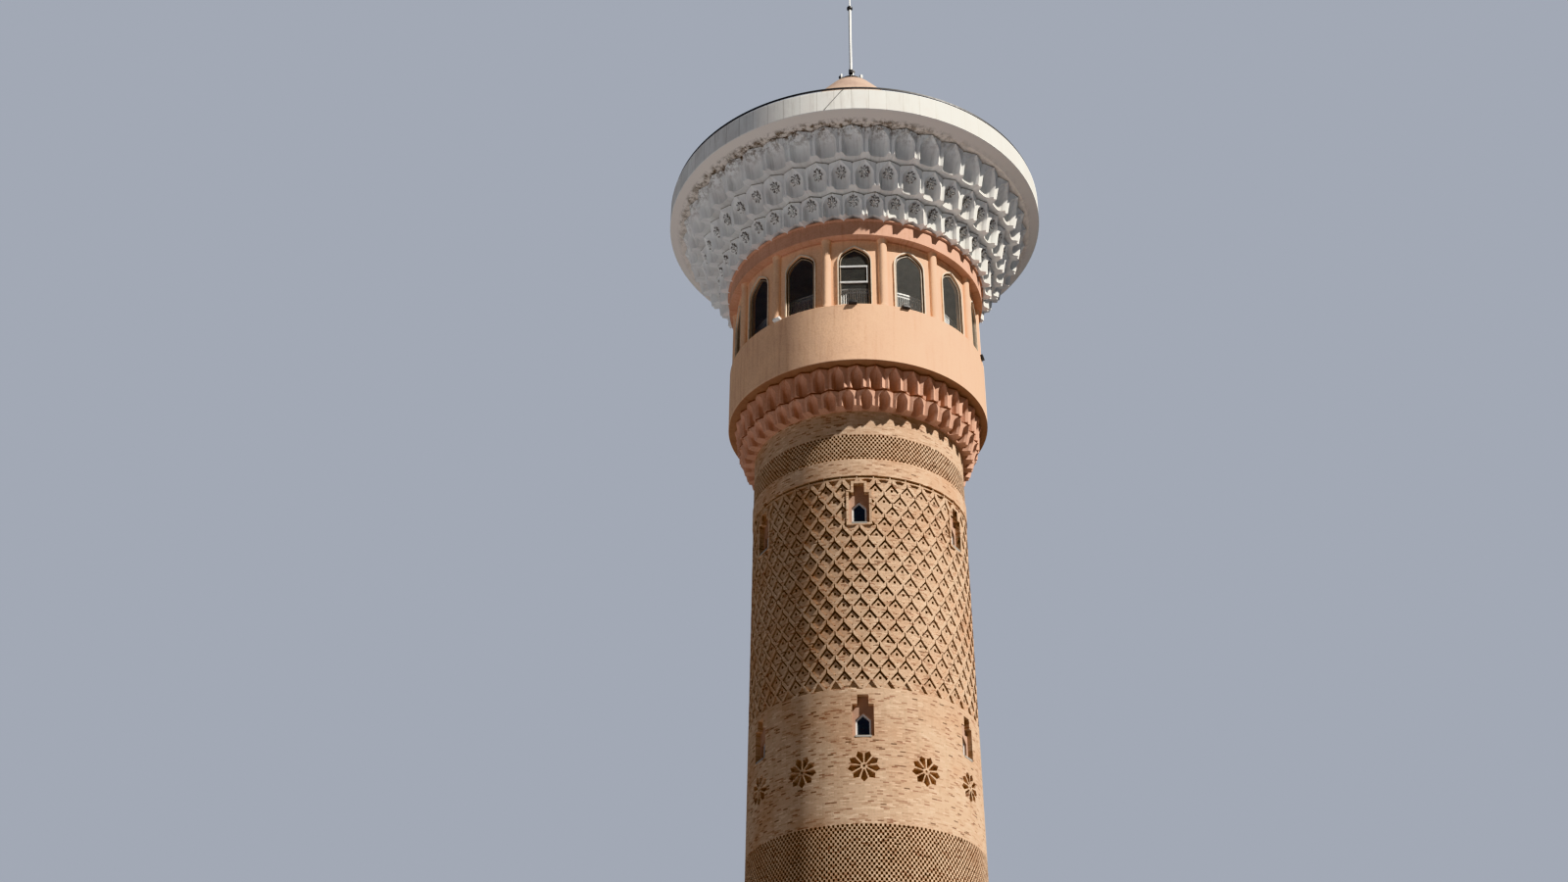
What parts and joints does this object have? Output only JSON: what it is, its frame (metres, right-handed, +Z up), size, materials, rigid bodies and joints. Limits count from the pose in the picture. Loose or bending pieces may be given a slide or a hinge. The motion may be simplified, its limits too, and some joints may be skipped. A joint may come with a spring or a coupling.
{
  "type": "minaret, 1:10 scale model",
  "caption": "Round brick minaret with patterned bands, slit windows, a glazed gallery on a corbel, a flared crown and a mast.",
  "frame": {"origin": "centre of the round foot, on the ground", "axes": "+Z up the tower, -Y towards the front doorway and the side seen in the picture, +X to the right from there"},
  "size_m": [1.934, 1.934, 8],
  "materials": {
    "brick": "buff and tan brickwork, matt, laid in patterned relief",
    "peach_plaster": "painted peach plaster, matt, weathered",
    "white_plaster": "painted white plaster, matt, stained in the hollows",
    "stone": "honed grey stone",
    "concrete": "plain cast concrete",
    "glass": "dark window glass",
    "white_steel": "white paint, satin",
    "dark_steel": "dark grey paint, satin"
  },
  "bodies": {
    "root": {"plinth": "stone", "base_wall_1": "brick", "base_wall_2": "brick", "base_wall_3": "brick", "base_wall_4": "brick", "base_wall_5": "brick", "base_wall_6": "brick", "shaft_lower_1": "brick", "shaft_lower_2": "brick", "shaft_lower_3": "brick", "shaft_upper_1": "brick", "shaft_upper_2": "brick", "shaft_upper_3": "brick", "shaft_neck": "brick", "belt_lower": "brick", "belt_upper": "brick", "corbel_lower_tier": "peach_plaster", "corbel_upper_tier": "peach_plaster", "parapet_band": "peach_plaster", "gallery_beam": "peach_plaster", "lantern_drum": "peach_plaster", "lantern_roof": "peach_plaster", "gallery_wall_1": "peach_plaster", "gallery_wall_2": "peach_plaster", "gallery_wall_3": "peach_plaster", "gallery_wall_4": "peach_plaster", "gallery_wall_5": "peach_plaster", "gallery_wall_6": "peach_plaster", "gallery_wall_7": "peach_plaster", "crown_tier_1": "white_plaster", "crown_tier_2": "white_plaster", "crown_tier_3": "white_plaster", "crown_rim": "white_plaster", "gallery_floor": "concrete", "gallery_kerb": "concrete", "gallery_ceiling": "concrete", "roof_deck": "concrete", "window_glass_1": "glass", "window_glass_2": "glass", "window_glass_3": "glass", "window_glass_4": "glass", "gallery_glass": "glass", "gallery_railing": "white_steel", "mast": "white_steel", "mast_rod": "white_steel", "mast_collar": "dark_steel", "cap_lamps": "dark_steel"}
  },
  "joints": []
}
